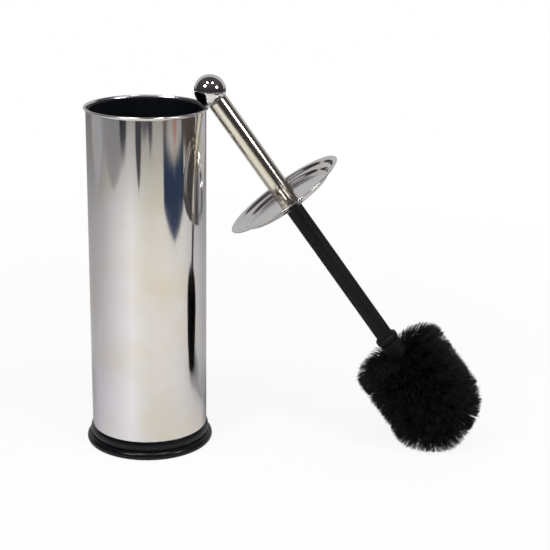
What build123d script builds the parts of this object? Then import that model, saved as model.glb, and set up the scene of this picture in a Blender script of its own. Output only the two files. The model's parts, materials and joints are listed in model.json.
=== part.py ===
# A free-standing toilet brush set: a polished steel canister with a black liner and
# foot, and its brush, taken out and hooked by knob and handle on the canister's rim.
# Millimetres, +Z up, origin on the floor in the middle of the canister's foot.
import os
from math import acos, atan2, cos, degrees, pi, radians, sin, sqrt

from build123d import *

# Canister: a rolled steel tube with a neck and an outward curl at its mouth
CANISTER_DIAMETER = 90.0
CANISTER_HEIGHT = 267.0
CANISTER_SHEET = 0.6
RIM_BEAD_RADIUS = 0.85
RIM_NECK_RADIUS = 3.4
RIM_NECK_ANGLE = 37.0

# Foot: a moulded cap that grips the lower edge of the tube
FOOT_HEIGHT = 13.9
FOOT_SPREAD = 4.5
FOOT_BEAD_RADIUS = 2.6
FOOT_GROOVE = 0.9
FOOT_GROOVE_HEIGHT = 6.4
FOOT_LIP = 1.5
FOOT_LIP_FLAT = 0.3
FOOT_RECESS = 3.5
FOOT_PLATE = 2.5
FOOT_COLLAR = 1.8
FOOT_RIM_WIDTH = 4.0
FOOT_BOSS_DIAMETER = 18.0
FOOT_RIBS = 8
FOOT_RIB_WIDTH = 1.6
FOOT_RIB_DEPTH = 2.5

# Liner: a drawn-in cup that stands on the foot's plate
LINER_WALL = 1.5
LINER_FLOOR = 2.0
LINER_CORNER = 6.0
LINER_BELOW_RIM = 1.5
LINER_BEVEL = 1.0

# Knob, handle and the studs and plugs that hold them together
KNOB_DIAMETER = 23.8
HANDLE_DIAMETER = 15.5
HANDLE_SHEET = 0.8
HANDLE_EDGE = 0.2
PLUG_LENGTH = 13.0
STUD_DIAMETER = 6.0
KNOB_STUD_LENGTH = 22.0
TIE_STUD_LENGTH = 29.0

# Lid: a pressed dish with a flat flange, a ledge on its wall and a floor that falls to the tube
LID_FROM_KNOB = 96.35
LID_SHEET = 0.7
LID_DEPTH = 5.6
LID_OVERHANG = 1.8
LID_FLANGE_WIDTH = 3.9
LID_UPPER_DROP = 1.6
LID_UPPER_SLOPE = 1.2
LID_LEDGE_WIDTH = 2.6
LID_LEDGE_DROP = 0.3
LID_LOWER_DROP = 1.5
LID_LOWER_SLOPE = 2.4
LID_SEAT_DIAMETER = 20.0
LID_BEND_RADIUS = 0.8
WASHER_DIAMETER = 12.0
WASHER_THICKNESS = 1.0

# Shaft and the screwed-on head
SHAFT_DIAMETER = 13.3
SPIGOT_DIAMETER = 9.2
SPIGOT_LENGTH = 12.0
COLLAR_DIAMETER = 18.0
COLLAR_LENGTH = 5.5
COLLAR_ROUND = 1.8
SOCKET_DIAMETER = 16.4
SOCKET_LENGTH = 5.7
HEAD_LENGTH = 89.0
HEAD_CORNER = 34.0
HEAD_SIDE_GAP = 2.2
DRIP_HEIGHT = 19.3
CORE_DIAMETER = 14.0
CORE_LENGTH = 57.5
SLEEVE_BELOW_TIPS = 6.5
SLEEVE_WALL = 1.5
TIP_CAP_LENGTH = 12.0

# Bristle strands: three-sided, thinner at the tip
SIDE_RINGS = 13
SIDE_STRANDS = 27
CORNER_STRANDS = (28, 26, 24, 20)
END_STRANDS = (16, 11, 4)
STRAND_ROOT = 0.85
STRAND_TIP = 0.7
STRAND_SINK = 0.7
STRAND_MARGIN = 1.6
FLOOR_TRIM = 2.9

# Clearances: between fixed pieces, between loose ones, and where the brush hooks on the rim
FIT_GAP = 0.1
REST_GAP = 0.3
HOOK_GAP = 0.5

# Canister radii and heights
wall_outer = CANISTER_DIAMETER / 2
wall_inner = wall_outer - CANISTER_SHEET
wall_middle = wall_outer - CANISTER_SHEET / 2
neck_lean = radians(RIM_NECK_ANGLE)
neck_x = wall_middle + RIM_NECK_RADIUS * (1 - cos(neck_lean))
curl_bend = RIM_BEAD_RADIUS - CANISTER_SHEET / 2
bead_x = neck_x + curl_bend * cos(neck_lean)
bead_z = CANISTER_HEIGHT - RIM_BEAD_RADIUS
neck_z = bead_z + curl_bend * sin(neck_lean)
plate_top = FOOT_RECESS + FOOT_PLATE
collar_outer = wall_inner - FIT_GAP
collar_inner = collar_outer - FOOT_COLLAR
liner_top = CANISTER_HEIGHT - LINER_BELOW_RIM
liner_top_radius = wall_inner - REST_GAP
liner_foot_radius = collar_inner - REST_GAP
liner_floor_top = plate_top + LINER_FLOOR

# Brush radii
knob_radius = KNOB_DIAMETER / 2
handle_radius = HANDLE_DIAMETER / 2
handle_bore = handle_radius - HANDLE_SHEET
plug_radius = handle_bore - FIT_GAP
stud_radius = STUD_DIAMETER / 2
stud_hole = stud_radius + FIT_GAP
spigot_radius = SPIGOT_DIAMETER / 2
core_radius = CORE_DIAMETER / 2
sleeve_bore = core_radius + FIT_GAP
sleeve_radius = sleeve_bore + SLEEVE_WALL
head_radius = liner_foot_radius - LINER_WALL - HEAD_SIDE_GAP

# Distances down the brush from the middle of the knob
knob_seat = sqrt(knob_radius**2 - handle_bore**2) + FIT_GAP
lid_floor = LID_FROM_KNOB + LID_DEPTH
tie_stud_top = lid_floor - PLUG_LENGTH
tie_stud_end = tie_stud_top + TIE_STUD_LENGTH
washer_top = lid_floor + LID_SHEET
shaft_top = washer_top + WASHER_THICKNESS
head_end = LID_FROM_KNOB + CANISTER_HEIGHT - liner_floor_top - DRIP_HEIGHT
head_top = head_end - HEAD_LENGTH
socket_top = head_top - SOCKET_LENGTH
collar_top = socket_top - COLLAR_LENGTH
sleeve_top = head_top + SLEEVE_BELOW_TIPS
core_end = sleeve_top + CORE_LENGTH
cap_end = core_end + FIT_GAP + SLEEVE_WALL
cap_top = cap_end - TIP_CAP_LENGTH

# How the brush leans: rim bead in the corner of knob and handle, head on the floor
bead_to_axis = RIM_BEAD_RADIUS + HOOK_GAP + handle_radius
bead_to_knob = RIM_BEAD_RADIUS + HOOK_GAP + knob_radius
bead_down = sqrt(bead_to_knob**2 - bead_to_axis**2)
corner_down = head_end - HEAD_CORNER - bead_down
corner_out = head_radius - HEAD_CORNER - bead_to_axis
corner_height = HEAD_CORNER - FLOOR_TRIM
corner_reach = sqrt(corner_down**2 + corner_out**2)
lean = atan2(corner_out, corner_down) + acos((bead_z - corner_height) / corner_reach)
knob_x = bead_x - bead_down * sin(lean) + bead_to_axis * cos(lean)
knob_z = bead_z + bead_down * cos(lean) + bead_to_axis * sin(lean)
brush_pose = Location((knob_x, 0, knob_z)) * Rotation(0, -degrees(lean), 0)


def turned(*profile):
    """A solid of revolution about Z from the edges of a closed profile."""
    return revolve(make_face(profile), axis=Axis.Z)


def pressed(sheet, *line):
    """Sheet metal turned about Z, from the edges of the line through its middle."""
    middle = Wire([edge for stretch in line for edge in stretch.edges()])
    return revolve(make_face(middle.offset_2d(sheet / 2, side=Side.BOTH)), axis=Axis.Z)


def up(radius, height):
    """A profile point on the canister, where heights run up from the floor."""
    return (radius, 0, height)


def down(radius, distance):
    """A profile point on the brush, where distances run down from the knob."""
    return (radius, 0, -distance)


def rod(radius, top, bottom, bore=0.0):
    """A plain round length of the brush, with an optional bore right through."""
    solid = Cylinder(radius, bottom - top)
    if bore:
        solid -= Cylinder(bore, bottom - top)
    return Location(down(0, (top + bottom) / 2)) * solid


def canister_shell():
    """The steel wall, from the foot's slot up through the neck into the curl of the rim."""
    half = CANISTER_SHEET / 2
    wall = Line(up(wall_middle, plate_top + half),
                up(wall_middle, neck_z - RIM_NECK_RADIUS * sin(neck_lean)))
    neck = TangentArc(wall @ 1, up(neck_x, neck_z), tangent=wall % 1)
    over = TangentArc(neck @ 1, up(bead_x + curl_bend, bead_z), tangent=neck % 1)
    tuck = TangentArc(over @ 1, up(bead_x, bead_z - curl_bend), tangent=over % 1)
    return pressed(CANISTER_SHEET, wall, neck, over, tuck)


def base_foot():
    """The moulded foot: rounded bead, groove, lip, slot for the wall, plate and ribs."""
    outer = wall_outer + FOOT_SPREAD
    bead_middle = outer - FOOT_BEAD_RADIUS
    slot = wall_outer + FIT_GAP
    rim_in = bead_middle - FOOT_RIM_WIDTH
    boss = FOOT_BOSS_DIAMETER / 2
    groove = up(wall_outer + FOOT_GROOVE, FOOT_GROOVE_HEIGHT)
    lip_middle = up(wall_outer + FOOT_LIP, (FOOT_GROOVE_HEIGHT + FOOT_HEIGHT) / 2)
    bead = TangentArc(up(outer, FOOT_BEAD_RADIUS), up(bead_middle, 0), tangent=(0, 0, -1))
    swell = TangentArc(bead @ 0, groove, tangent=(0, 0, 1))
    lip = ThreePointArc(groove, lip_middle, up(slot + FOOT_LIP_FLAT, FOOT_HEIGHT))
    inside = Polyline(lip @ 1, up(slot, FOOT_HEIGHT), up(slot, plate_top), up(collar_outer, plate_top),
                      up(collar_outer, FOOT_HEIGHT), up(collar_inner, FOOT_HEIGHT),
                      up(collar_inner, plate_top), up(0, plate_top), up(0, 0), up(boss, 0),
                      up(boss, FOOT_RECESS), up(rim_in, FOOT_RECESS), up(rim_in, 0), bead @ 1)
    foot = turned(bead, swell, lip, inside)
    rib = Box(rim_in, FOOT_RIB_WIDTH, FOOT_RIB_DEPTH, align=(Align.MIN, Align.CENTER, Align.MAX))
    ribs = [Rotation(0, 0, 360 / FOOT_RIBS * number) * Location(up(0, FOOT_RECESS)) * rib
            for number in range(FOOT_RIBS)]
    return foot.fuse(*ribs)


def inner_liner():
    """The tapered cup, with a rounded inside corner, standing on the foot's plate."""
    slope = (liner_top_radius - liner_foot_radius) / (liner_top - plate_top)
    corner_z = liner_floor_top + LINER_CORNER
    corner_x = liner_foot_radius + slope * (corner_z - plate_top) - LINER_WALL
    wall = Polyline(up(0, liner_floor_top), up(0, plate_top), up(liner_foot_radius, plate_top),
                    up(liner_top_radius, liner_top),
                    up(liner_top_radius - LINER_WALL, liner_top - LINER_BEVEL), up(corner_x, corner_z))
    corner = TangentArc(wall @ 1, up(corner_x - LINER_CORNER, liner_floor_top), tangent=wall % 1)
    floor = Line(corner @ 1, wall @ 0)
    return turned(wall, corner, floor)


def ball_knob():
    """The round knob, with the blind hole for its stud."""
    return Sphere(knob_radius) - rod(stud_hole, 0, KNOB_DIAMETER)


def handle_tube():
    """The steel handle tube, its outer edges broken with a small chamfer."""
    tube = rod(handle_radius, knob_seat, lid_floor, handle_bore)
    outer_edges = tube.edges().filter_by(GeomType.CIRCLE).group_by(SortBy.RADIUS)[-1]
    return chamfer(outer_edges, HANDLE_EDGE)


def lid():
    """The pressed lid, from the hole for the tie stud out to the flat flange."""
    half = LID_SHEET / 2
    flange_out = bead_x + RIM_BEAD_RADIUS + LID_OVERHANG - half
    flange_in = flange_out + half - LID_FLANGE_WIDTH
    ledge_out = flange_in - LID_UPPER_SLOPE
    ledge_in = ledge_out - LID_LEDGE_WIDTH
    floor_out = ledge_in - LID_LOWER_SLOPE
    flange = LID_FROM_KNOB + half
    ledge = flange + LID_UPPER_DROP
    ledge_edge = ledge + LID_LEDGE_DROP
    seat = lid_floor + half
    dish = FilletPolyline(down(stud_hole + half, seat), down(LID_SEAT_DIAMETER / 2, seat),
                          down(floor_out, ledge_edge + LID_LOWER_DROP), down(ledge_in, ledge_edge),
                          down(ledge_out, ledge), down(flange_in, flange), down(flange_out, flange),
                          radius=LID_BEND_RADIUS)
    return pressed(LID_SHEET, dish)


def brush_shaft():
    """The plastic shaft: stud hole at the top, screw spigot at the bottom."""
    shaft = rod(SHAFT_DIAMETER / 2, shaft_top, collar_top)
    spigot = rod(spigot_radius, collar_top, collar_top + SPIGOT_LENGTH)
    return shaft + spigot - rod(stud_hole, shaft_top, tie_stud_end + REST_GAP)


def brush_hub():
    """The head's hub: rounded collar, socket for the shaft, and core for the tufts."""
    collar = rod(COLLAR_DIAMETER / 2, collar_top, socket_top)
    collar = fillet(collar.edges().filter_by(GeomType.CIRCLE), COLLAR_ROUND)
    socket = rod(SOCKET_DIAMETER / 2, socket_top, sleeve_top)
    core = rod(core_radius, sleeve_top, core_end)
    bore = rod(spigot_radius + FIT_GAP, collar_top, collar_top + SPIGOT_LENGTH + REST_GAP)
    return collar + socket + core - bore


def strand(root, tip):
    """One tapered three-sided strand between two (radius, distance down) points."""
    start = Vector(*down(*root))
    end = Vector(*down(*tip))
    way = (end - start).normalized()
    thick = Plane(start - way * STRAND_SINK, z_dir=way) * RegularPolygon(STRAND_ROOT, 3)
    thin = Plane(end, z_dir=way) * RegularPolygon(STRAND_TIP, 3)
    return loft([thick, thin], ruled=True)


def strand_ring(count, ring, root, tip):
    """One ring of strands; every second ring is turned by half a step."""
    step = 360 / count
    first = strand(root, tip).solid()
    return [Rotation(0, 0, step * (number + ring % 2 / 2)) * first for number in range(count)]


def between(first, last, share):
    """The point a share of the way from one (radius, distance) point to another."""
    return (first[0] + (last[0] - first[0]) * share, first[1] + (last[1] - first[1]) * share)


def side_bristles():
    """Rings of strands round the core, fanned from the shoulder to the rounded end."""
    first_root = (sleeve_radius, sleeve_top + STRAND_MARGIN)
    last_root = (sleeve_radius, cap_top - STRAND_MARGIN)
    first_tip = (head_radius, head_top + STRAND_TIP)
    last_tip = (head_radius, head_end - HEAD_CORNER)
    strands = []
    for ring in range(SIDE_RINGS):
        share = ring / (SIDE_RINGS - 1)
        root = between(first_root, last_root, share)
        tip = between(first_tip, last_tip, share)
        strands += strand_ring(SIDE_STRANDS, ring, root, tip)
    sleeve = rod(sleeve_radius, sleeve_top, cap_top, sleeve_bore)
    return sleeve.fuse(Compound(strands))


def tip_bristles():
    """The strands of the rounded end, on the cap that closes the core."""
    corner_rings = len(CORNER_STRANDS)
    end_rings = len(END_STRANDS)
    flat_radius = head_radius - HEAD_CORNER
    first_root = (sleeve_radius, cap_top + STRAND_MARGIN)
    last_root = (sleeve_radius, cap_end - STRAND_MARGIN)
    strands = []
    for ring, count in enumerate(CORNER_STRANDS + END_STRANDS):
        rings_after = corner_rings + end_rings - ring - 0.5
        turn = pi / 2 * (1 - rings_after / (corner_rings + end_rings))
        tip = (flat_radius + HEAD_CORNER * cos(turn), head_end - HEAD_CORNER + HEAD_CORNER * sin(turn))
        root = between(first_root, last_root, ring / (corner_rings - 1))
        if ring >= corner_rings:
            root = (sleeve_radius * rings_after / end_rings, cap_end)
        strands += strand_ring(count, ring, root, tip)
    cap = rod(sleeve_radius, cap_top, cap_end) - rod(sleeve_bore, cap_top, core_end + FIT_GAP)
    return cap.fuse(Compound(strands))


def above_floor(shape):
    """The shape with whatever the floor presses flat cut away."""
    side = CANISTER_HEIGHT
    below = Box(side, side, side, align=(Align.CENTER, Align.CENTER, Align.MAX))
    middle = shape.bounding_box().center()
    return shape - Location((middle.X, middle.Y, 0)) * below


canister = {
    "canister_shell": canister_shell(),
    "inner_liner": inner_liner(),
    "base_foot": base_foot(),
}
brush = {
    "ball_knob": ball_knob(),
    "knob_stud": rod(stud_radius, REST_GAP, REST_GAP + KNOB_STUD_LENGTH),
    "tube_top_plug": rod(plug_radius, knob_radius, knob_radius + PLUG_LENGTH, stud_hole),
    "handle_tube": handle_tube(),
    "tube_lower_plug": rod(plug_radius, tie_stud_top, lid_floor, stud_hole),
    "lid": lid(),
    "tie_stud": rod(stud_radius, tie_stud_top, tie_stud_end),
    "lid_washer": rod(WASHER_DIAMETER / 2, washer_top, shaft_top, stud_hole),
    "brush_shaft": brush_shaft(),
    "brush_hub": brush_hub(),
    "side_bristles": side_bristles(),
    "tip_bristles": tip_bristles(),
}
placed = {name: brush_pose * piece for name, piece in brush.items()}
for name in ("side_bristles", "tip_bristles"):
    placed[name] = above_floor(placed[name])

os.makedirs("parts", exist_ok=True)
for name, piece in {**canister, **placed}.items():
    export_step(piece, f"parts/{name}.step")
print("lean of the brush", round(degrees(lean), 2), "degrees, knob at", round(knob_x, 2), round(knob_z, 2))
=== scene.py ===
# Toilet brush holder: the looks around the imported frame.
# Metres, z up, the canister's foot centred on the origin, seen along +Y.
import json
import math

import bmesh
import bpy
import numpy as np
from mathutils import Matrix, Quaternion, Vector


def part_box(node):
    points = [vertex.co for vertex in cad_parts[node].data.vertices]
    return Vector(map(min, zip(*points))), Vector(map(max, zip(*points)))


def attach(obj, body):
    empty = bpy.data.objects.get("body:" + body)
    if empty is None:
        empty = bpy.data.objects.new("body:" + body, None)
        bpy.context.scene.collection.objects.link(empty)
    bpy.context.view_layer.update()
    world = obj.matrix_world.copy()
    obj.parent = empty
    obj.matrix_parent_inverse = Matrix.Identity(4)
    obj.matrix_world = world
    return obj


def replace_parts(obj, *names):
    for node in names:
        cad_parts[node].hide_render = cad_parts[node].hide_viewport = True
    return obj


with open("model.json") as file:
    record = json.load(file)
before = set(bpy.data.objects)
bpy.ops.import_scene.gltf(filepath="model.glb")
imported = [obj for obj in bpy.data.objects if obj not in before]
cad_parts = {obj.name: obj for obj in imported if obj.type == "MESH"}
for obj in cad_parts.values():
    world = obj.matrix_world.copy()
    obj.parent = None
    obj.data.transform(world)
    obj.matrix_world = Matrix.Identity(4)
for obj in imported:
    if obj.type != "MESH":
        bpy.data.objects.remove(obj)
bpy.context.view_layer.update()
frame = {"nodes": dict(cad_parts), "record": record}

nodes = frame["nodes"]

# Camera
CAMERA_AT = (0.0910447, -1.0391193, 0.4646988)
CAMERA_AIM = (0.00646063, 0.95344083, -0.30151095)
CAMERA_ROLL = math.radians(0.9015)
CAMERA_LENS = 92.238
CAMERA_SENSOR = 36.0

# Floor as the camera sees it: its grey, and how much of it glows white from one distance to another
WHITE = (1.0, 1.0, 1.0, 1.0)
FLOOR_RADIUS = 9.0
FLOOR_SIDES = 96
FLOOR_PALE = (0.86, 0.86, 0.86, 1.0)
GLOW_SPAN = (0.20, 0.80)
GLOW_SHARE = (0.90, 0.995)

# Floor as the steel mirrors it, with painted light and shade of the room round the object: a tint by share
# of a turn, from the -X side round by the front, and a colour by distance, as a share of FADE_REACH, darker
# far off
FLOOR_AROUND = (
    (0.000, (0.78, 0.77, 0.81)), (0.035, (0.85, 0.84, 0.88)), (0.090, (0.95, 0.95, 0.97)),
    (0.135, (1.03, 1.03, 1.05)), (0.178, (1.15, 1.14, 1.15)), (0.222, (1.06, 1.06, 1.00)),
    (0.260, (1.00, 0.98, 0.91)), (0.340, (1.00, 0.97, 0.90)), (0.430, (0.99, 0.98, 0.94)),
    (0.525, (0.90, 0.89, 0.88)), (0.580, (0.84, 0.84, 0.86)), (0.645, (0.70, 0.70, 0.73)),
    (1.000, (0.78, 0.77, 0.81)),
)
FADE_REACH = 2.5
FLOOR_FADE = (
    (0.00, (0.84, 0.83, 0.83)), (0.22, (0.84, 0.82, 0.79)), (0.30, (0.78, 0.77, 0.73)),
    (0.38, (0.68, 0.67, 0.63)), (0.54, (0.62, 0.60, 0.57)), (0.64, (0.30, 0.29, 0.29)),
    (0.80, (0.13, 0.12, 0.13)),
)

# World: ambient light, and for mirrors a dark room, from level to overhead, with a pale cone at the back
AMBIENT = (0.34, 0.34, 0.35, 1.0)
ROOM_BY_HEIGHT = (
    (0.00, (0.034, 0.031, 0.037)), (0.50, (0.062, 0.056, 0.060)), (0.80, (0.090, 0.078, 0.086)),
    (1.00, (0.065, 0.055, 0.058)),
)
BACKDROP_PALE = (0.52, 0.52, 0.53, 1.0)
BACKDROP_AIM = (0.0065, 1.0, -0.01)
BACKDROP_CONE = math.radians(59)
BACKDROP_SOFT = 0.03

# Lamps: name, direction from the knob, distance, radius, watts
LAMPS = (
    ("lamp_top_left", (-0.2591, -0.3795, 0.8873), 1.30, 0.10, 4.5),
    ("lamp_top_right", (0.2860, -0.3646, 0.8862), 1.30, 0.10, 4.5),
    ("lamp_side_left", (-0.5420, -0.6045, 0.5841), 1.30, 0.17, 4.0),
    ("lamp_side_right", (0.7777, -0.4594, 0.4313), 1.30, 0.17, 4.0),
)

# Glowing cards on the floor that only mirrors see, painted reflections of the room, the lowest first: name,
# azimuth and half width (degrees), near end, colour, and where they differ: far end, depth of its notch,
# share that narrows
CARD_LIFT = 0.0006
CARD_STEPS = 12
CARD_ROUND = 0.6
CARD_FAR = 1.50
CARD_TAPER = 0.45
CARDS = (
    ("card_pale_left", 168.0, 17.0, 0.85, (0.40, 0.40, 0.42)),
    ("card_pale_right", 44.0, 22.0, 0.80, (0.50, 0.50, 0.51)),
    ("card_grey_a", -150.0, 27.0, 0.88, (0.320, 0.312, 0.318)),
    ("card_grey_b", -147.0, 24.0, 0.96, (0.275, 0.268, 0.275)),
    ("card_blue", -33.0, 21.0, 0.62, (0.026, 0.042, 0.086), 1.26, 0.22, 0.26),
    ("card_bar_a", -129.0, 7.0, 1.06, (0.016, 0.020, 0.026)),
    ("card_bar_d", -89.0, 10.0, 1.20, (0.090, 0.085, 0.098)),
    ("card_bar_b", -100.0, 5.5, 0.86, (0.045, 0.045, 0.058)),
    ("card_bar_c", -78.0, 4.5, 1.09, (0.055, 0.053, 0.068)),
    ("card_tan_a", -50.0, 5.0, 1.20, (0.15, 0.12, 0.09)),
    ("card_tan_b", -31.0, 4.5, 1.13, (0.42, 0.20, 0.14)),
    ("card_brown", 2.0, 18.0, 1.00, (0.075, 0.060, 0.050)),
)

# Steel: what all of it shares, then each slot's own values
HAZE_DETAIL = 5.0
HAZE_ROUGH_SPAN = (0.42, 0.70)
HAZE_TINT_SPAN = (0.40, 0.72)
HAZE_TINT = 0.93
STAIN_SCALE = 24.0
STAIN_DETAIL = 2.5
STAIN_SPAN = (0.47, 0.68)
STAIN_TINT = (0.94, 0.90, 0.78)
GRAIN_STRETCH = (900, 900, 12)
GRAIN_DETAIL = 2.0
GRAIN_SPAN = (0.3, 0.7)
GRAIN_ROUGH = 0.02
GRAIN_DEPTH = 0.000004
GRAIN_STRENGTH = 0.5
WAVE_DETAIL = 1.0
DULL_EDGE = 0.002
DULL_ROUGH = 0.14
STEELS = {
    "polished_steel": {"tint": (0.80, 0.79, 0.80), "rough": (0.05, 0.13), "stains": 0.8, "dull_from": 0.2635},
    "handle_steel": {"tint": (0.80, 0.77, 0.69), "rough": (0.12, 0.17)},
    "lid_steel": {"tint": (0.83, 0.81, 0.80), "rough": (0.09, 0.14), "wave": 0.0001},
    "chrome_knob": {"tint": (0.80, 0.79, 0.81), "rough": (0.03, 0.08)},
    "fastener_steel": {"tint": (0.66, 0.66, 0.67), "rough": (0.22, 0.36), "cloud": 60.0,
                       "wave": 0.00002, "wave_scale": 60.0},
}

# Plastic, likewise
SKIN_DETAIL = 2.0
SKIN_STRENGTH = 0.6
SCUFF_SCALE = 40.0
SCUFF_DETAIL = 6.0
SCUFF_TINT_SPAN = (0.45, 0.80)
SCUFF_ROUGH_SPAN = (0.35, 0.75)
PLASTICS = {
    "liner_plastic": {"dark": (0.004, 0.005, 0.007), "pale": (0.009, 0.010, 0.012), "rough": (0.36, 0.52),
                      "scale": 900.0, "depth": 0.00002, "stretch": (1, 1, 0.02), "gloss": 0.14},
    "foot_plastic": {"dark": (0.004, 0.0045, 0.006), "pale": (0.007, 0.0075, 0.009), "rough": (0.22, 0.30),
                     "scale": 1400.0, "depth": 0.000003, "gloss": 0.26},
    "shaft_plastic": {"dark": (0.004, 0.005, 0.006), "pale": (0.007, 0.008, 0.009), "rough": (0.50, 0.62),
                      "scale": 1600.0, "depth": 0.000004, "gloss": 0.22},
    "plug_plastic": {"dark": (0.020, 0.020, 0.022), "pale": (0.040, 0.040, 0.042), "rough": (0.40, 0.60),
                     "scale": 1200.0, "depth": 0.00003},
}

# Bristle nylon: shades from root to tip, paler at the tips as a painted highlight
FLECK_SCALE = 300.0
FLECK_DETAIL = 2.0
FLECK_SPAN = (0.3, 0.7)
FLECK_SHIFT = 0.15
NYLON_SHADES_LIT_TIPS = (
    (0.0, (0.0016, 0.0016, 0.0020)), (0.80, (0.0026, 0.0026, 0.0034)), (1.0, (0.020, 0.019, 0.021)),
)
NYLON_ROUGH = (0.55, 0.65)
NYLON_GLOSS = 0.12

# Bristles: rings of tufts, down the sides, round the end cap and on its face, and their strands
SEED = 17
RING_STAGGER = 0.5
SIDE_RINGS = 13
TUFTS_PER_RING = 20
CAP_RINGS = (26, 25, 23, 20)
FACE_RINGS = (15, 9, 3)
CLUMPS_PER_TUFT = 3
STRANDS_PER_CLUMP = 15
STRAND_RINGS = 5
STRAND_SIDES = 3
STRAND_ROOT_RADIUS = 0.00019
STRAND_TIP_RADIUS = 0.00012
ROOT_SUNK = 0.0006
SHARES = np.linspace(0.0, 1.0, STRAND_RINGS)
TRIM_STEPS = np.linspace(0.004, 0.060, 120)

# The backing's wall and how the head's outline is rounded and set off from the solids
SLEEVE_WALL = 0.0015
SLEEVE_SLACK = 0.0002
BACKING_SIDES = 48
CAP_HOLE = 0.0002
CAP_BEVEL = 0.001
HEAD_CORNER = 0.034
SHOULDER = 0.007
WIDE_SHARE = 0.95
TOP_CLIP = 0.003
END_OVER = 0.003

# Spreads of what is drawn at random: round the brush and along it for tufts, clumps, strands and roots,
# then for the trimmed length and the bend
TURN_SPREAD = 0.07
LEAN_SPREAD = 0.03
CLUMP_ROUND = 0.10
CLUMP_LONG = 0.035
STRAND_ROUND = 0.085
STRAND_LONG = 0.05
ROOT_ROUND = 0.0008
ROOT_LONG = 0.0006
TRIM_SPREAD = 0.0004
BEND_SPREAD = 0.022

# Where the floor is in the strands' way: those near it are longer, and bend aside on it
FLOOR_CLEAR = 0.0003
FLOOR_UNEVEN = 0.0016
FLOOR_REACH = 0.012
FLOOR_NEAR_MOST = 1.5
FLOOR_STRETCH = 0.20
FLOOR_STEEPNESS = 1.5
FLOOR_SPLAY = 0.9

# Guards: a shift of the brush's axis, since strands may lie along it, and a least length
OFF_AXIS = 0.01
TINY = 1e-6

# Lid: the pressed dish, with the wall's steps as run inwards and drop
LID_SHEET = 0.0007
LID_FLANGE = 0.0039
LID_STEPS = ((0.0025, 0.0025), (0.0034, 0.0005))
LID_LOWER_RUN = 0.0026
LID_BEND = 0.0011
LID_BEND_SHARE = 0.35
LID_BEND_STEPS = 6
LID_EDGE_STEPS = 7
LID_SUPPORT = 0.0002
LID_SIDES = 192


class Graph:
    """A material's or the world's nodes."""

    def __init__(self, owner):
        owner.use_nodes = True
        self.owner = owner
        self.tree = owner.node_tree
        self.tree.nodes.clear()

    def add(self, kind, inputs=None, **settings):
        made = self.tree.nodes.new(kind)
        for key, value in settings.items():
            setattr(made, key, value)
        for key, value in (inputs or {}).items():
            socket = made.inputs[key]
            if isinstance(value, bpy.types.NodeSocket):
                self.tree.links.new(value, socket)
            else:
                socket.default_value = value
        return made

    def math(self, operation, first, second=0.0):
        return self.add("ShaderNodeMath", {0: first, 1: second}, operation=operation).outputs[0]

    def ramp(self, factor, stops):
        made = self.add("ShaderNodeValToRGB", {"Fac": factor})
        elements = made.color_ramp.elements
        while len(elements) < len(stops):
            elements.new(0.5)
        for element, (place, colour) in zip(elements, stops):
            element.position = place
            element.color = (*colour, 1.0)
        return made.outputs["Color"]

    def fit(self, value, span, to):
        """The value carried from one span to another, and held at its ends."""
        inputs = {"Value": value, "From Min": span[0], "From Max": span[1], "To Min": to[0], "To Max": to[1]}
        return self.add("ShaderNodeMapRange", inputs).outputs["Result"]

    def mix(self, factor, first, second):
        inputs = {"Factor": factor, "A": first, "B": second}
        return self.add("ShaderNodeMix", inputs, data_type="RGBA").outputs["Result"]

    def blend(self, factor, first, second):
        return self.add("ShaderNodeMixShader", {0: factor, 1: first, 2: second}).outputs[0]

    def noise(self, where, scale, detail, stretch=(1, 1, 1)):
        moved = self.add("ShaderNodeMapping", {"Vector": where, "Scale": stretch})
        inputs = {"Vector": moved.outputs["Vector"], "Scale": scale, "Detail": detail}
        return self.add("ShaderNodeTexNoise", inputs).outputs["Fac"]

    def bump(self, inputs):
        return self.add("ShaderNodeBump", inputs).outputs["Normal"]

    def place(self):
        return self.add("ShaderNodeTexCoord").outputs["Object"]

    def split(self, where):
        return self.add("ShaderNodeSeparateXYZ", {"Vector": where}).outputs

    def rays(self):
        return self.add("ShaderNodeLightPath").outputs

    def shade(self, kind, inputs):
        return self.add(kind, inputs).outputs[0]

    def close(self, shader, kind="ShaderNodeOutputMaterial"):
        self.add(kind, {"Surface": shader})
        return self.owner


def new_graph(name):
    return Graph(bpy.data.materials.new(name))


def steel(name, tint, rough, cloud=14.0, wave=0.0002, wave_scale=9.0, stains=0.5, dull_from=None):
    """Polished sheet steel: haze, yellowish stains, a faint grain, waviness; duller above dull_from."""
    g = new_graph(name)
    where = g.place()
    haze = g.noise(where, cloud, HAZE_DETAIL)
    stain = g.noise(where, STAIN_SCALE, STAIN_DETAIL)
    lines = g.noise(where, 1.0, GRAIN_DETAIL, GRAIN_STRETCH)
    swell = g.noise(where, wave_scale, WAVE_DETAIL)
    dull = g.fit(haze, HAZE_ROUGH_SPAN, rough)
    dull = g.math("ADD", dull, g.fit(lines, GRAIN_SPAN, (0.0, GRAIN_ROUGH)))
    if dull_from is not None:
        upper = g.fit(g.split(where)["Z"], (dull_from, dull_from + DULL_EDGE), (0.0, DULL_ROUGH))
        dull = g.math("ADD", dull, upper)
    hazy = tuple(HAZE_TINT * part for part in tint)
    clean = g.ramp(haze, tuple(zip(HAZE_TINT_SPAN, (tint, hazy))))
    stained = tuple(share * part for share, part in zip(STAIN_TINT, tint))
    spots = g.fit(stain, STAIN_SPAN, (0.0, stains))
    colour = g.mix(spots, clean, (*stained, 1.0))
    wavy = g.bump({"Height": swell, "Distance": wave, "Strength": 1.0})
    grained = g.bump({"Height": lines, "Distance": GRAIN_DEPTH, "Strength": GRAIN_STRENGTH, "Normal": wavy})
    return g.close(g.shade("ShaderNodeBsdfPrincipled", {
        "Base Color": colour, "Metallic": 1.0, "Roughness": dull, "Normal": grained}))


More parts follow.
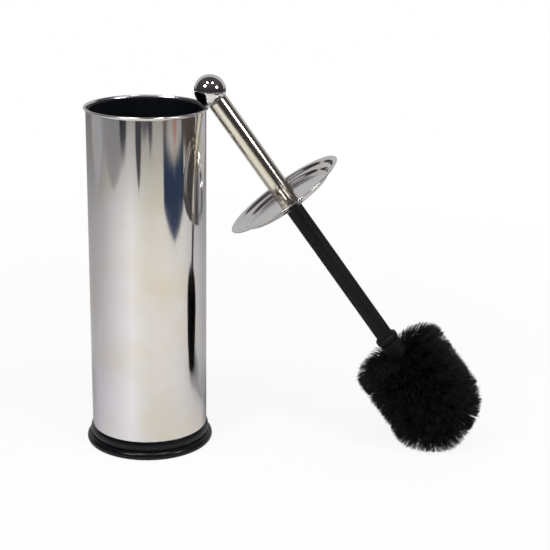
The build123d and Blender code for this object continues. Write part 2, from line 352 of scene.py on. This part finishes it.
def moulded(name, dark, pale, rough, scale, depth, stretch=(1, 1, 1), gloss=0.5):
    """Moulded plastic: a fine skin, with scuffs that lift its colour and dull its gloss."""
    g = new_graph(name)
    where = g.place()
    skin = g.noise(where, scale, SKIN_DETAIL, stretch)
    scuff = g.noise(where, SCUFF_SCALE, SCUFF_DETAIL, stretch)
    colour = g.ramp(scuff, tuple(zip(SCUFF_TINT_SPAN, (dark, pale))))
    dull = g.fit(scuff, SCUFF_ROUGH_SPAN, rough)
    skinned = g.bump({"Height": skin, "Distance": depth, "Strength": SKIN_STRENGTH})
    return g.close(g.shade("ShaderNodeBsdfPrincipled", {
        "Base Color": colour, "Roughness": dull, "Normal": skinned, "Specular IOR Level": gloss}))


def nylon(name):
    """Bristle nylon: black at the root, drier at the cut tips, and paler there as a painted highlight of
    light catching them.
    """
    g = new_graph(name)
    tip = g.add("ShaderNodeAttribute", attribute_name="tip").outputs["Fac"]
    fleck = g.noise(g.place(), FLECK_SCALE, FLECK_DETAIL)
    along = g.math("ADD", tip, g.fit(fleck, FLECK_SPAN, (-FLECK_SHIFT, FLECK_SHIFT)))
    # Painted highlight: the colour turns paler towards the strand tips
    colour = g.ramp(along, NYLON_SHADES_LIT_TIPS)
    dull = g.fit(along, (0.0, 1.0), NYLON_ROUGH)
    return g.close(g.shade("ShaderNodeBsdfPrincipled", {
        "Base Color": colour, "Roughness": dull, "Specular IOR Level": NYLON_GLOSS}))


looks = {}
for look_name, values in STEELS.items():
    looks[look_name] = steel(look_name, **values)
for look_name, values in PLASTICS.items():
    looks[look_name] = moulded(look_name, **values)
bristle_look = nylon("bristle_plastic")

# The two bristle nodes are replaced below, so they need no look
for part in frame["record"]["subparts"]:
    wanted = part["material_slot"]
    if wanted in looks:
        for holder in nodes[part["node"]].material_slots:
            holder.material = looks[wanted]


def add_object(name, data):
    made = bpy.data.objects.new(name, data)
    bpy.context.scene.collection.objects.link(made)
    return made


def add_mesh(name, points, faces, look):
    mesh = bpy.data.meshes.new(name)
    mesh.from_pydata(points, [], faces)
    mesh.materials.append(look)
    return add_object(name, mesh)


def between(first, last, share):
    return first + (last - first) * share


# Stage pieces
def floor_look():
    """Pale to the camera and to diffuse light; to mirrors, painted light and shade by place and distance."""
    g = new_graph("floor_pale")
    rays = g.rays()
    where = g.split(g.place())
    squares = [g.math("POWER", where[letter], 2.0) for letter in "XY"]
    reach = g.math("SQRT", g.math("ADD", *squares))
    angle = g.math("DEGREES", g.math("ARCTAN2", where["Y"], where["X"]))
    around = g.ramp(g.fit(angle, (-180.0, 180.0), (0.0, 1.0)), FLOOR_AROUND)
    fade = g.ramp(g.fit(reach, (0.0, FADE_REACH), (0.0, 1.0)), FLOOR_FADE)
    # Painted light and shade: the mirrored floor darkens with distance and changes tone round the turn
    toned = g.add("ShaderNodeVectorMath", {0: fade, 1: around}, operation="MULTIPLY").outputs[0]
    plain = g.shade("ShaderNodeBsdfDiffuse", {"Color": FLOOR_PALE})
    mirrored = g.shade("ShaderNodeBsdfDiffuse", {"Color": toned})
    glow = g.shade("ShaderNodeEmission", {"Color": WHITE})
    seen = g.blend(g.fit(reach, GLOW_SPAN, GLOW_SHARE), plain, glow)
    other = g.blend(rays["Is Glossy Ray"], plain, mirrored)
    return g.close(g.blend(rays["Is Camera Ray"], other, seen))


def make_floor():
    """A round floor under everything."""
    turns = [math.tau * k / FLOOR_SIDES for k in range(FLOOR_SIDES)]
    points = [(FLOOR_RADIUS * math.cos(a), FLOOR_RADIUS * math.sin(a), 0.0) for a in turns]
    floor = add_mesh("stage_floor", points, [list(range(FLOOR_SIDES))], floor_look())


def make_card(lift, name, azimuth, half, near, colour, far=CARD_FAR, notch=0.0, taper=CARD_TAPER):
    """A glowing card, a painted reflection seen only in mirrors, that lies on the floor and narrows to a
    point towards the canister.
    """
    g = new_graph(name)
    # The card glows with its colour, a painted reflection that no lamp lights
    look = g.close(g.shade("ShaderNodeEmission", {"Color": (*colour, 1.0)}))
    edge = []
    for k in range(CARD_STEPS + 1):
        share = k / CARD_STEPS
        edge.append((between(near, far, share), half * min(1.0, share / taper) ** CARD_ROUND))
    rim = [(reach, azimuth - wide) for reach, wide in edge]
    rim.append((far - notch, azimuth))
    rim += [(reach, azimuth + wide) for reach, wide in reversed(edge[1:])]
    points = []
    for reach, turn in rim:
        a = math.radians(turn)
        points.append((reach * math.cos(a), reach * math.sin(a), lift))
    card = add_mesh(name, points, [list(range(len(points)))], look)
    card.visible_camera = False
    card.visible_diffuse = False
    card.visible_shadow = False


def make_world():
    """White to the camera, dim all round to diffuse light, a dark room with a pale back to mirrors."""
    world = bpy.data.worlds.new("studio")
    bpy.context.scene.world = world
    g = Graph(world)
    rays = g.rays()
    way = g.add("ShaderNodeTexCoord").outputs["Generated"]
    aim = Vector(BACKDROP_AIM).normalized()
    dot = g.add("ShaderNodeVectorMath", {0: way, 1: aim}, operation="DOT_PRODUCT").outputs["Value"]
    edge = math.cos(BACKDROP_CONE)
    behind = g.fit(dot, (edge - BACKDROP_SOFT, edge + BACKDROP_SOFT), (0.0, 1.0))
    room_tone = g.ramp(g.split(way)["Z"], ROOM_BY_HEIGHT)
    tones = (room_tone, BACKDROP_PALE, AMBIENT, WHITE)
    room, backdrop, ambient, white = [g.shade("ShaderNodeBackground", {"Color": tone}) for tone in tones]
    mirrored = g.blend(behind, room, backdrop)
    other = g.blend(rays["Is Glossy Ray"], ambient, mirrored)
    clear = g.math("MAXIMUM", rays["Is Camera Ray"], rays["Is Transmission Ray"])
    g.close(g.blend(clear, other, white), "ShaderNodeOutputWorld")


def make_lamps(target):
    """Round lamps that face the target."""
    for name, way, distance, radius, watts in LAMPS:
        lamp = bpy.data.lights.new(name, "AREA")
        lamp.shape = "DISK"
        lamp.size = 2 * radius
        lamp.energy = watts
        aim = Vector(way).normalized()
        made = add_object(name, lamp)
        made.location = target + aim * distance
        made.rotation_mode = "QUATERNION"
        made.rotation_quaternion = aim.to_track_quat("Z", "Y")


def make_camera():
    """The photograph's camera."""
    camera = bpy.data.cameras.new("camera")
    camera.sensor_width = CAMERA_SENSOR
    camera.lens = CAMERA_LENS
    made = add_object("camera", camera)
    made.location = CAMERA_AT
    made.rotation_mode = "QUATERNION"
    turn = Vector(CAMERA_AIM).to_track_quat("-Z", "Y")
    made.rotation_quaternion = turn @ Quaternion((0, 0, 1), CAMERA_ROLL)
    bpy.context.scene.camera = made


def middle(node):
    low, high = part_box(node)
    return (low + high) / 2


# Brush frame: from the knob's centre down the handle, and two ways across it
knob = middle("ball_knob")
down = (middle("handle_tube") - knob).normalized()
side = Vector((0, 1, 0))
across = side.cross(-down).normalized()
START, DOWN, SIDE, ACROSS = [np.array(item) for item in (knob, down, side, across)]


def ray_at(turn):
    return ACROSS * math.cos(turn) + SIDE * math.sin(turn)


def along_and_out(points):
    """How far down the brush each point lies, and how far out from its axis."""
    places = points - START
    along = places @ DOWN
    out = np.linalg.norm(places - along[..., None] * DOWN, axis=-1)
    return along, out


def node_places(node):
    return along_and_out(np.array([v.co for v in nodes[node].data.vertices]))


def lathe(profile, sides):
    """Points and faces of a closed profile (along, out) turned about the brush's axis."""
    points = []
    for k in range(sides):
        ray = ray_at(math.tau * k / sides)
        for along, out in profile:
            points.append(START + DOWN * along + ray * out)
    faces = []
    n = len(profile)
    for k in range(sides):
        m = (k + 1) % sides
        for j in range(n):
            i = (j + 1) % n
            faces.append((k * n + j, k * n + i, m * n + i, m * n + j))
    return points, faces


# Bristles
def head_sizes():
    """Distances down the brush and radii of the head, taken from the solids."""
    along, out = node_places("side_bristles")
    tip_along, tip_out = node_places("tip_bristles")
    sleeve_radius = out.min() + SLEEVE_WALL
    sleeve = along[out < sleeve_radius + SLEEVE_SLACK]
    return {
        "radius": out.max(),
        "top": along[out > WIDE_SHARE * out.max()].min() + TOP_CLIP,
        "end": tip_along.max() + END_OVER,
        "bore": out.min(),
        "sleeve_radius": sleeve_radius,
        "sleeve_top": sleeve.min(),
        "sleeve_end": sleeve.max(),
        "cap_top": tip_along.min(),
        "cap_end": tip_along[tip_out < sleeve_radius / 2].min() + SLEEVE_WALL,
    }


def tuft_rings(head):
    """Rings of tufts on the sides and on the end: how many, root (along, out) and tip (along, out)."""
    margin = SLEEVE_WALL
    dome = head["end"] - HEAD_CORNER
    flat = head["radius"] - HEAD_CORNER
    backing = head["sleeve_radius"]
    sides = []
    for ring in range(SIDE_RINGS):
        share = ring / (SIDE_RINGS - 1)
        root = (between(head["sleeve_top"] + margin, head["sleeve_end"] - margin, share), backing)
        tip = (between(head["top"], dome, share), head["radius"])
        sides.append((TUFTS_PER_RING, root, tip))
    ends = []
    counts = CAP_RINGS + FACE_RINGS
    for ring, count in enumerate(counts):
        left = len(counts) - ring - 0.5
        turn = math.pi / 2 * (1 - left / len(counts))
        tip = (dome + HEAD_CORNER * math.sin(turn), flat + HEAD_CORNER * math.cos(turn))
        if ring < len(CAP_RINGS):
            share = ring / (len(CAP_RINGS) - 1)
            root = (between(head["cap_top"] + margin, head["cap_end"] - margin, share), backing)
        else:
            root = (head["cap_end"], backing * left / len(FACE_RINGS))
        ends.append((count, root, tip))
    return sides, ends


def tuft_strands(rings, rng):
    """Root and direction of every strand."""
    roots = []
    ways = []
    for number, (count, root, tip) in enumerate(rings):
        for k in range(count):
            turn = math.tau * (k + RING_STAGGER * (number % 2) + rng.normal(0.0, TURN_SPREAD)) / count
            ray = ray_at(turn)
            foot = START + DOWN * root[0] + ray * root[1]
            way = DOWN * (tip[0] - root[0]) + ray * (tip[1] - root[1])
            way /= np.linalg.norm(way)
            round_way = np.cross(DOWN, ray)
            long_way = np.cross(way, round_way)
            way = way + long_way * rng.normal(0.0, LEAN_SPREAD)
            for _ in range(CLUMPS_PER_TUFT):
                clump_round = rng.normal(0.0, CLUMP_ROUND)
                clump_long = rng.normal(0.0, CLUMP_LONG)
                for _ in range(STRANDS_PER_CLUMP):
                    aim = way + round_way * (clump_round + rng.normal(0.0, STRAND_ROUND))
                    aim = aim + long_way * (clump_long + rng.normal(0.0, STRAND_LONG))
                    start = foot - way * ROOT_SUNK + round_way * rng.normal(0.0, ROOT_ROUND)
                    roots.append(start + long_way * rng.normal(0.0, ROOT_LONG))
                    ways.append(aim / np.linalg.norm(aim))
    return np.array(roots), np.array(ways)


def trimmed(head, roots, ways):
    """Length of each strand up to the head's outline: a cylinder, rounded at the top, domed at the end."""
    along, out = along_and_out(roots[:, None] + ways[:, None] * TRIM_STEPS[None, :, None])
    over_along = np.maximum(0.0, along - (head["end"] - HEAD_CORNER))
    over_out = np.maximum(0.0, out - (head["radius"] - HEAD_CORNER))
    under_along = np.maximum(0.0, head["top"] + SHOULDER - along)
    under_out = np.maximum(0.0, out - (head["radius"] - SHOULDER))
    in_dome = np.hypot(over_along, over_out) < HEAD_CORNER
    in_shoulder = np.hypot(under_along, under_out) < SHOULDER
    last = np.maximum(0, (in_dome & in_shoulder).sum(axis=1) - 1)
    return TRIM_STEPS[last]


def strand_lines(head, rings, rng):
    """Each strand's direction and its middle line, bent where the floor is in its way."""
    roots, ways = tuft_strands(rings, rng)
    count = len(roots)
    reach = trimmed(head, roots, ways) + rng.normal(0.0, TRIM_SPREAD, count)
    tip_height = roots[:, 2] + ways[:, 2] * reach
    near_floor = np.clip((FLOOR_REACH - tip_height) / FLOOR_REACH, 0.0, FLOOR_NEAR_MOST)
    endward = np.clip(FLOOR_STEEPNESS * ways @ DOWN, 0.0, 1.0)
    reach = reach * (1.0 + FLOOR_STRETCH * near_floor * endward)
    bends = rng.normal(0.0, BEND_SPREAD, (count, 3))
    course = ways[:, None] * SHARES[None, :, None] + bends[:, None] * (SHARES ** 2)[None, :, None]
    line = roots[:, None] + course * reach[:, None, None]
    low = FLOOR_CLEAR + rng.uniform(0.0, FLOOR_UNEVEN, count)
    sunk = np.maximum(0.0, low[:, None] - line[:, :, 2])
    level = ways * np.array((1.0, 1.0, 0.0))
    level /= np.maximum(TINY, np.linalg.norm(level, axis=1))[:, None]
    line = line + level[:, None] * (sunk * FLOOR_SPLAY)[:, :, None]
    line[:, :, 2] = np.maximum(line[:, :, 2], low[:, None])
    return ways, line


def strand_mesh(ways, line):
    """Points and faces of tapered strands, and each point's share of the way from root to tip."""
    count = len(ways)
    u = np.cross(ways, DOWN + OFF_AXIS)
    u /= np.linalg.norm(u, axis=1)[:, None]
    v = np.cross(ways, u)
    turns = np.arange(STRAND_SIDES) * math.tau / STRAND_SIDES
    spokes = u[:, None] * np.cos(turns)[None, :, None] + v[:, None] * np.sin(turns)[None, :, None]
    wide = between(STRAND_ROOT_RADIUS, STRAND_TIP_RADIUS, SHARES)
    points = line[:, :, None] + spokes[:, None] * wide[None, :, None, None]
    tips = np.tile(np.repeat(SHARES, STRAND_SIDES), count)
    faces = []
    for strand in range(count):
        first = strand * STRAND_RINGS * STRAND_SIDES
        for ring in range(STRAND_RINGS - 1):
            a = first + ring * STRAND_SIDES
            b = a + STRAND_SIDES
            for k in range(STRAND_SIDES):
                n = (k + 1) % STRAND_SIDES
                faces.append((a + k, a + n, b + n, b + k))
        last = first + (STRAND_RINGS - 1) * STRAND_SIDES
        faces.append(tuple(range(last, last + STRAND_SIDES)))
    return points.reshape(-1, 3), faces, tips


def bristle_piece(name, head, rings, rng, backing):
    """One mesh of strands on a slice of their backing."""
    ways, line = strand_lines(head, rings, rng)
    points, faces, tips = strand_mesh(ways, line)
    back_points, back_faces = backing
    base = len(points)
    points = np.concatenate((points, np.array(back_points)))
    tips = np.concatenate((tips, np.zeros(len(back_points))))
    faces.extend(tuple(base + k for k in face) for face in back_faces)
    made = add_mesh(name, points.tolist(), faces, bristle_look)
    made.data.shade_smooth()
    layer = made.data.attributes.new("tip", "FLOAT", "POINT")
    layer.data.foreach_set("value", tips)
    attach(made, "brush")
    return made


def make_bristles():
    """The side and tip bristles, both drawn from one random stream, each with its backing."""
    rng = np.random.default_rng(SEED)
    head = head_sizes()
    sides, ends = tuft_rings(head)
    bore = head["bore"]
    radius = head["sleeve_radius"]
    top = head["sleeve_top"]
    end = head["sleeve_end"]
    sleeve = lathe(((top, bore), (top, radius), (end, radius), (end, bore)), BACKING_SIDES)
    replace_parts(bristle_piece("side_tufts", head, sides, rng, sleeve), "side_bristles")
    top = head["cap_top"]
    end = head["cap_end"]
    inside = end - SLEEVE_WALL
    cap = lathe(((top, bore), (top, radius), (end - CAP_BEVEL, radius), (end, radius - CAP_BEVEL),
                 (end, CAP_HOLE), (inside, CAP_HOLE), (inside, bore)), BACKING_SIDES)
    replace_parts(bristle_piece("tip_tufts", head, ends, rng, cap), "tip_bristles")


# Lid
def toward(start, goal, distance):
    way = goal - start
    return start + way * distance / np.linalg.norm(way)


def rounded(corners):
    """A line through the corners, each of them eased into a bend."""
    corners = [np.array(corner) for corner in corners]
    line = [corners[0], toward(corners[0], corners[1], LID_SUPPORT)]
    for before, corner, after in zip(corners, corners[1:], corners[2:]):
        into = before - corner
        onward = after - corner
        shorter = min(np.linalg.norm(into), np.linalg.norm(onward))
        back = min(LID_BEND, LID_BEND_SHARE * shorter)
        into /= np.linalg.norm(into)
        onward /= np.linalg.norm(onward)
        start = corner + into * back
        stop = corner + onward * back
        line.append(start + into * LID_SUPPORT)
        for t in np.linspace(0.0, 1.0, LID_BEND_STEPS):
            line.append((1 - t) ** 2 * start + 2 * t * (1 - t) * corner + t ** 2 * stop)
        line.append(stop + onward * LID_SUPPORT)
    line.append(toward(corners[-1], line[-1], LID_SUPPORT))
    line.append(corners[-1])
    return np.array(line)


def make_lid():
    """The lid as one sheet of constant thickness, on the flange and the seat of the solid."""
    along, out = node_places("lid")
    half = LID_SHEET / 2
    flange = along.min() + half
    seat = along.max() - half
    corners = [(flange, out.max() - half), (flange, out.max() - LID_FLANGE)]
    for run, drop in LID_STEPS:
        corners.append((corners[-1][0] + drop, corners[-1][1] - run))
    corners.append((seat, corners[-1][1] - LID_LOWER_RUN))
    corners.append((seat, out.min() + half))
    line = rounded(corners)
    way = np.gradient(line, axis=0)
    way /= np.linalg.norm(way, axis=1)[:, None]
    aside = way[:, ::-1] * np.array((-1.0, 1.0)) * half
    turns = np.linspace(0.0, math.pi, LID_EDGE_STEPS)[1:-1]
    edge = [line[0] + aside[0] * math.cos(a) - way[0] * half * math.sin(a) for a in turns]
    profile = np.concatenate((edge[::-1], line + aside, (line - aside)[::-1]))
    points, faces = lathe(profile, LID_SIDES)
    made = add_mesh("lid_dish", [tuple(p) for p in points], faces, looks["lid_steel"])
    solid = bmesh.new()
    solid.from_mesh(made.data)
    bmesh.ops.recalc_face_normals(solid, faces=solid.faces)
    solid.to_mesh(made.data)
    solid.free()
    made.data.shade_smooth()
    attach(made, "brush")
    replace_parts(made, "lid")


make_bristles()
make_lid()
make_floor()
for number, card in enumerate(CARDS):
    make_card(CARD_LIFT * (number + 1), *card)
make_world()
make_lamps(knob)
make_camera()

scene = bpy.context.scene
scene.view_settings.view_transform = "Standard"
